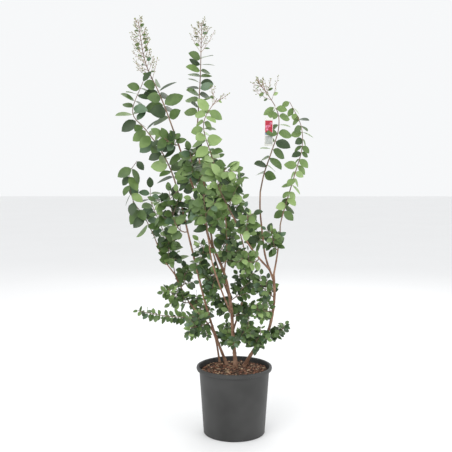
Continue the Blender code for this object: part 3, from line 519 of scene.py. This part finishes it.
def lay_out_limbs():
    lines = {}
    for name, limb in LIMBS.items():
        route = list(limb.route)
        if limb.parent:
            start = lines[limb.parent].place(limb.share)
            if limb.share == 1:
                start = start + lines[limb.parent].heading(1) * GAP
            route.insert(0, start)
        lines[name] = line_through(route)
    return lines


def shoot_radius(foot_radius, share):
    return foot_radius + (SHOOT_TIP_RADIUS - foot_radius) * share


def side_direction(along, index, rng):
    """Where a leaf or twig at a node points, square to the shoot. Pairs spread across the light, and each
    is turned from the last."""
    turn = NODE_TURN * (1 if index % 2 else -1) + NODE_TURN_SPREAD * rng.uniform(-1, 1)
    return Quaternion(along, turn) @ LIGHT.cross(along).normalized()


def leaf_direction(along, side, droop, rng):
    heading = along * rng.uniform(*LEAF_LEAN) + side - UP * (droop * rng.uniform(*DROOP_SPREAD))
    return heading.normalized()


def leaf_face(heading, side, rng):
    """Leaves face the light, each with a tilt of its own."""
    tilt = Vector((rng.uniform(-1, 1), rng.uniform(-1, 1), rng.uniform(-1, 1)))
    return LIGHT + LEAF_TURN * side + LEAF_TILT * tilt


# Surfaces and pieces

def look(name, colours, scale, roughness, bump=0.0, specular=PLAIN_GLOSS):
    """A surface whose base colour runs softly between two colours."""
    made = bpy.data.materials.new(name)
    made.use_nodes = True
    nodes = made.node_tree.nodes
    links = made.node_tree.links
    shader = nodes["Principled BSDF"]
    where = nodes.new("ShaderNodeTexCoord")
    noise = nodes.new("ShaderNodeTexNoise")
    noise.inputs["Scale"].default_value = scale
    ramp = nodes.new("ShaderNodeValToRGB")
    for element, position, colour in zip(ramp.color_ramp.elements, RAMP_ENDS, colours):
        element.position = position
        element.color = (*colour, 1)
    links.new(where.outputs["Object"], noise.inputs["Vector"])
    links.new(noise.outputs["Fac"], ramp.inputs["Fac"])
    links.new(ramp.outputs["Color"], shader.inputs["Base Color"])
    shader.inputs["Roughness"].default_value = roughness
    shader.inputs["Specular IOR Level"].default_value = specular
    if bump:
        relief = nodes.new("ShaderNodeBump")
        relief.inputs["Strength"].default_value = bump
        relief.inputs["Distance"].default_value = BUMP_DEPTH
        links.new(noise.outputs["Fac"], relief.inputs["Height"])
        links.new(relief.outputs["Normal"], shader.inputs["Normal"])
    return made


def dress(item, skin):
    item.data.materials.clear()
    item.data.materials.append(skin)


class Pile:
    """Pieces of one kind, joined into one mesh."""

    def __init__(self):
        self.corners = []
        self.faces = []

    def add(self, piece):
        first = len(self.corners)
        self.corners += [tuple(corner) for corner in piece[0]]
        self.faces += [tuple(first + i for i in face) for face in piece[1]]

    def build(self, name, skin, slot, nodes=(), smooth=True):
        """The pile as an object on the root body, which stands for some solid nodes."""
        mesh = bpy.data.meshes.new(name)
        mesh.from_pydata(self.corners, [], self.faces)
        mesh.materials.append(skin)
        item = bpy.data.objects.new(name, mesh)
        bpy.context.scene.collection.objects.link(item)
        if smooth:
            mesh.shade_smooth()
        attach(item, "root")
        if nodes:
            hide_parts(*nodes)
        return item


# Leaves, twigs and buds

def leaf(root, heading, face, length):
    """An oval blade, folded a little along its midrib and bent over towards its tip."""
    face = (face - heading * face.dot(heading)).normalized()
    across = heading.cross(face)
    corners = [root]
    for share, width in BLADE:
        middle = root + heading * (share * length) - face * (LEAF_BEND * length * share ** 2)
        half = across * (width * LEAF_WIDTH * length / 2)
        lift = face * (width * LEAF_FOLD * length)
        corners += [middle, middle + half + lift, middle - half + lift]
    corners.append(root + heading * length - face * (LEAF_BEND * length))
    faces = [(0, 1, 2), (0, 3, 1)]
    for k in range(len(BLADE) - 1):
        a = 1 + 3 * k
        faces += [(a, a + 3, a + 4, a + 1), (a, a + 2, a + 5, a + 3)]
    a = 1 + 3 * (len(BLADE) - 1)
    tip = len(corners) - 1
    faces += [(a, tip, a + 1), (a, a + 2, tip)]
    return corners, faces


def bud(middle, heading, length):
    """A small bud, pointed at both ends."""
    side = heading.orthogonal().normalized()
    corners = [middle - heading * length / 2, middle + heading * length / 2]
    corners += [middle + Quaternion(heading, math.tau * k / BUD_SIDES) @ side * (length * BUD_WIDTH)
                for k in range(BUD_SIDES)]
    faces = []
    for k in range(BUD_SIDES):
        a = 2 + k
        b = 2 + (k + 1) % BUD_SIDES
        faces += [(1, a, b), (0, b, a)]
    return corners, faces


def leaf_pile(name, rng):
    """The pile of the tint that is dealt to the next leaf of a mass."""
    return piles[rng.choices(list(TINTS), TINT_SHARES.get(name, PLAIN_SHARES))[0]]


def clear_of_pot(corners):
    return all(corner.z > POT_HEIGHT + POT_ROOM_ABOVE
               or math.hypot(corner.x, corner.y) > RIM_RADIUS + POT_ROOM_ROUND
               for corner in corners)


def grow_leaf(name, place, along, side, length, droop, rng):
    """A leaf on its petiole, left out where it would touch the pot."""
    heading = leaf_direction(along, side, droop, rng)
    face = leaf_face(heading, side, rng)
    length = length * rng.uniform(*LEAF_SIZES)
    made = leaf(place + heading * (PETIOLE * length), heading, face, length)
    if clear_of_pot(made[0]):
        leaf_pile(name, rng).add(made)
        piles["twigs"].add(tube([place, place + heading * (2 * PETIOLE * length)], PETIOLE_RADII, 3))


def grow_tip_leaf(name, place, heading, length, droop, rng):
    grow_leaf(name, place, heading, heading * TIP_SIDE, TIP_LEAF * length, droop * TIP_DROOP, rng)


def grow_twig(name, mass, place, along, side, length, rng):
    """A twig that arches up a little, with pairs of leaves and one at its tip."""
    heading = (along * rng.uniform(*TWIG_LEAN) + side * SIDE_PULL + UP * UP_PULL).normalized()
    end = place + heading * length
    bend = place.lerp(end, 0.5) + UP * (TWIG_ARCH * length)
    line = line_arch(place, bend, end)
    if not clear_of_pot([end]):
        return
    rings = range(TWIG_SECTIONS + 1)
    radii = [TWIG_RADIUS * (1 - TWIG_TAPER * i) for i in rings]
    piles["twigs"].add(tube([line.place(i / TWIG_SECTIONS) for i in rings], radii, TWIG_SIDES))
    size = TWIG_LEAF * mass.leaf
    droop = mass.habit.droop
    count = max(2, round(length / (TWIG_LEAF_SPACING * size)))
    for k in range(count):
        share = TWIG_FIRST_LEAF + TWIG_LEAFY * k / count
        way = line.heading(share)
        out = side_direction(way, k, rng)
        leaf_size = size * (FOOT_LEAF - TWIG_LEAF_LOSS * share)
        for sign in (1, -1):
            grow_leaf(name, line.place(share), way, sign * out, leaf_size, droop, rng)
    grow_tip_leaf(name, end, heading, size, droop, rng)


def grow_flower_branch(name, place, along, side, length, rng):
    """A thin branch with a bud at its tip and stalked buds below it."""
    heading = (along * rng.uniform(*FLOWER_LEAN) + side * SIDE_PULL + UP * UP_PULL).normalized()
    end = place + (heading + UP * FLOWER_RISE).normalized() * length
    line = line_arch(place, place + heading * length * 0.5, end)
    sections = len(FLOWER_TWIG_RADII) - 1
    places = [line.place(i / sections) for i in range(sections + 1)]
    piles["flower_twigs"].add(tube(places, FLOWER_TWIG_RADII, FLOWER_TWIG_SIDES))
    for k in range(SPRAY_BUDS):
        share = 1 - SPRAY_BUDDING * k / SPRAY_BUDS
        way = line.heading(share)
        out = Quaternion(way, rng.uniform(0, math.tau)) @ way.orthogonal().normalized()
        stalk = rng.uniform(*STALK_LENGTHS) * (0 if k == 0 else 1)
        end = line.place(share) + (out + way * STALK_LEAN).normalized() * stalk
        if k:
            piles["flower_twigs"].add(tube([line.place(share), end], STALK_RADII, 3))
        piles["buds"].add(bud(end, (out * BUD_TURN + way).normalized(), rng.uniform(*BUD_LENGTHS)))
    if rng.random() < SPRAY_LEAF_CHANCE:
        place = line.place(SPRAY_LEAF_SHARE)
        grow_leaf(name, place, line.heading(SPRAY_LEAF_SHARE), side, SPRAY_LEAF, SPRAY_LEAF_DROOP, rng)


def mass_course(mass):
    """The line of a mass's shoot and its radius at the foot."""
    limb = LIMBS[mass.limb]
    limb_line = lines[mass.limb]
    foot = limb_line.place(mass.share)
    if mass.share == 1:
        return line_through([foot, *mass.route]), limb.tip_radius
    radius = min(SIDE_SHOOT_RADIUS, SIDE_SHOOT_SHARE * limb_radius(limb, mass.share, limb_line.length))
    if not isinstance(mass.route, Heading):
        return line_through([foot, *mass.route]), radius
    along = limb_line.heading(mass.share)
    heading = compass(mass.route.turn, mass.route.rise)
    out = (heading - along * heading.dot(along)).normalized()
    bend = foot + out * (SIDE_BEND * mass.route.length)
    return line_arch(foot, bend, foot + heading * mass.route.length), radius


def grow_mass(name, mass):
    """A mass's shoot, with leaves and leafy twigs at its nodes, and a tip leaf or sprays of buds."""
    rng = random.Random(f"{GROWTH_SEED} {name}")
    line, foot_radius = mass_course(mass)
    rings = max(LEAST_SHOOT_RINGS, round(line.length / SHOOT_RING))
    shares = [i / rings for i in range(rings + 1)]
    radii = [shoot_radius(foot_radius, share) for share in shares]
    piles["shoots"].add(tube([line.place(share) for share in shares], radii, SHOOT_SIDES))
    habit = mass.habit
    leafy = habit.buds_from - FIRST_NODE
    count = max(LEAST_NODES, round(leafy * line.length / (habit.spacing * NODE_SHARE * mass.leaf)))
    for index in range(count):
        share = FIRST_NODE + leafy * index / count
        along = line.heading(share)
        side = side_direction(along, index, rng)
        size = mass.leaf * (FOOT_LEAF - SHOOT_LEAF_LOSS * share)
        place = line.place(share)
        if habit.twig_every and index % 2 == 0:
            sign = 1 if index // 2 % 2 else -1
            length = TWIG_SHARE * line.length * (FOOT_TWIG - TWIG_LOSS * share)
            grow_twig(name, mass, place, along, sign * side, length, rng)
            grow_leaf(name, place, along, -sign * side, size, habit.droop, rng)
            continue
        for sign in (1, -1):
            grow_leaf(name, place, along, sign * side, size, habit.droop, rng)
    if habit.buds_from == 1.0:
        grow_tip_leaf(name, line.place(1), line.heading(1), mass.leaf, habit.droop, rng)
        return
    budding = 1 - habit.buds_from
    count = round(budding * line.length / SPRAY_SPACING)
    for index in range(count):
        share = habit.buds_from + budding * index / count
        along = line.heading(share)
        side = side_direction(along, index, rng)
        usual = SPRAY_SCALE * FLOWER_BRANCH * (1 - SPRAY_LOSS * index / count)
        for sign in (1, -1):
            length = usual * rng.uniform(*SPRAY_LENGTHS)
            grow_flower_branch(name, line.place(share), along, sign * side, length, rng)


# Limbs, pot, soil and label

def make_limb_bark():
    """Stems and boughs in bark, with a knot at every ninth ring."""
    rng = random.Random("bark")
    pile = Pile()
    for name, limb in LIMBS.items():
        line = lines[name]
        rings = round(line.length / BARK_RING)
        shares = [i / rings for i in range(rings + 1)]
        places = [line.place(share) for share in shares]
        if limb.parent is None:
            places[0] = places[0] - UP * STEM_SINK
        radii = []
        for k, share in enumerate(shares):
            swell = 1 + BARK_RELIEF * rng.uniform(-1, 1) + (KNOT_SWELL if k % KNOT_EVERY == 0 else 0)
            radii.append(limb_radius(limb, share, line.length) * swell)
        pile.add(tube(places, radii, BARK_SIDES))
    skin = look("bark", ((0.17, 0.085, 0.050), (0.34, 0.20, 0.13)), 45, 0.75, bump=0.6)
    pile.build("limbs_bark", skin, "bark", list(LIMBS))


def make_shell():
    """The pot, rounder than its solid."""
    pile = Pile()
    pile.add(turned(pot_profile(), POT_SIDES))
    skin = look("pot_plastic", ((0.030, 0.030, 0.029), (0.045, 0.045, 0.044)), 9, 0.5, bump=0.05)
    shell = pile.build("pot_shell", skin, "pot", ["pot"])
    shell.data.set_sharp_from_angle(angle=SHARP_ANGLE)


def make_chips():
    """Bark chips in three colours, strewn over the soil."""
    rng = random.Random("chips")
    chips = {tint: Pile() for tint in CHIP_COLOURS}
    reach = wall_radius(SOIL_LEVEL) - POT_WALL - CHIP_EDGE
    for _ in range(CHIP_COUNT):
        distance = reach * math.sqrt(rng.random())
        turn = rng.uniform(0, math.tau)
        height = SOIL_LEVEL + rng.uniform(*CHIP_HEIGHTS)
        middle = Vector((distance * math.cos(turn), distance * math.sin(turn), height))
        way = compass(rng.uniform(0, 360), rng.uniform(*CHIP_TILTS))
        half = way * rng.uniform(*CHIP_HALF_LENGTHS)
        across = UP.cross(way).normalized()
        tint = rng.choices(list(CHIP_COLOURS), CHIP_SHARES)[0]
        width = rng.uniform(*CHIP_WIDTHS)
        chips[tint].add(bar(middle - half, middle + half, across, width, rng.uniform(*CHIP_THICKNESSES)))
    for tint, pile in chips.items():
        skin = look("chips_" + tint, CHIP_COLOURS[tint], 60, 0.9)
        pile.build("bark_chips_" + tint, skin, "soil", smooth=False)


def make_label_print():
    """Plain blocks of colour on the label's face: a red picture with pink, a band and a pale field."""
    face = Vector((math.sin(TAG_TURN), -math.cos(TAG_TURN), 0))
    across = UP.cross(face)
    hold = mass_course(MASSES[TAG_SHOOT])[0].place(TAG_SHARE)
    middle = hold + TAG_OFFSET + face * (TAG_THICKNESS / 2 + PRINT_LIFT)

    def block(centre, tall, wide):
        return bar(centre - UP * tall / 2, centre + UP * tall / 2, across, wide, PRINT_THICKNESS)

    for name, colour, height, tall, wide in PRINT_BLOCKS:
        pile = Pile()
        pile.add(block(middle + UP * height, tall, wide))
        faded = tuple(PRINT_FADE * part for part in colour)
        pile.build(name, look(name, (colour, faded), 80, 0.4), "label", smooth=False)
    rng = random.Random("label")
    pile = Pile()
    for _ in range(PETAL_COUNT):
        centre = (middle + face * PRINT_LIFT + UP * rng.uniform(*PETAL_HEIGHTS)
                  + across * rng.uniform(*PETAL_PLACES))
        size = rng.uniform(*PETAL_SIZES)
        pile.add(block(centre, size, size))
    skin = look("label_pink", ((0.75, 0.20, 0.34), (0.85, 0.36, 0.48)), 60, 0.4)
    pile.build("label_pink", skin, "label", smooth=False)


# Studio

def make_studio():
    scene = bpy.context.scene
    scene.view_settings.view_transform = "Standard"
    world = bpy.data.worlds.new("studio")
    scene.world = world
    world.use_nodes = True
    world.node_tree.nodes["Background"].inputs["Color"].default_value = WORLD_COLOUR
    world.node_tree.nodes["Background"].inputs["Strength"].default_value = 1.0
    for name, (place, size, energy) in LAMPS.items():
        lamp = bpy.data.lights.new(name, "AREA")
        lamp.size = size
        lamp.energy = energy
        item = bpy.data.objects.new(name, lamp)
        item.location = place
        item.rotation_euler = (Vector(LAMP_AIM) - Vector(place)).to_track_quat("-Z", "Y").to_euler()
        scene.collection.objects.link(item)
    mesh = bpy.data.meshes.new("floor")
    corners = [(a * FLOOR_HALF, b * FLOOR_HALF, 0) for a, b in ((-1, -1), (1, -1), (1, 1), (-1, 1))]
    mesh.from_pydata(corners, [], [(0, 1, 2, 3)])
    skin = look("floor", ((0.89, 0.89, 0.89), (0.90, 0.90, 0.90)), 1, 0.9, specular=FLOOR_GLOSS)
    mesh.materials.append(skin)
    floor = bpy.data.objects.new("floor", mesh)
    floor.location.z = FLOOR_LEVEL
    scene.collection.objects.link(floor)
    camera = bpy.data.objects.new("camera", bpy.data.cameras.new("camera"))
    camera.data.sensor_width = SENSOR_WIDTH
    camera.data.lens = CAMERA_LENS
    camera.location = CAMERA_PLACE
    camera.rotation_euler = (CAMERA_TILT, 0, 0)
    scene.collection.objects.link(camera)
    scene.camera = camera


piles = {name: Pile() for name in (*TINTS, "twigs", "flower_twigs", "buds", "shoots")}
lines = lay_out_limbs()
for name, mass in MASSES.items():
    grow_mass(name, mass)
for tint, colours in TINTS.items():
    piles[tint].build(tint, look(tint, colours, 30, 0.42, bump=0.15), "leaf", list(MASSES))
twig_skin = look("twig", ((0.20, 0.13, 0.10), (0.30, 0.24, 0.16)), 40, 0.7)
piles["twigs"].build("twigs", twig_skin, "bark")
flower_twig_skin = look("flower_twig", ((0.27, 0.11, 0.08), (0.33, 0.20, 0.11)), 40, 0.7)
piles["flower_twigs"].build("flower_twigs", flower_twig_skin, "bark")
piles["buds"].build("buds", look("bud", ((0.16, 0.24, 0.07), (0.30, 0.30, 0.10)), 90, 0.5), "leaf")
shoot_skin = look("shoot", ((0.16, 0.10, 0.075), (0.27, 0.18, 0.12)), 40, 0.7, bump=0.3)
piles["shoots"].build("shoots", shoot_skin, "bark")
make_limb_bark()
make_shell()
make_chips()
make_label_print()
soil_skin = look("soil", ((0.020, 0.011, 0.007), (0.075, 0.042, 0.026)), 120, 0.95, bump=1.0)
dress(frame["nodes"]["soil"], soil_skin)
label_skin = look("label_plastic", ((0.74, 0.73, 0.69), (0.78, 0.77, 0.74)), 20, 0.35)
dress(frame["nodes"]["label_tag"], label_skin)
make_studio()
bpy.context.view_layer.update()
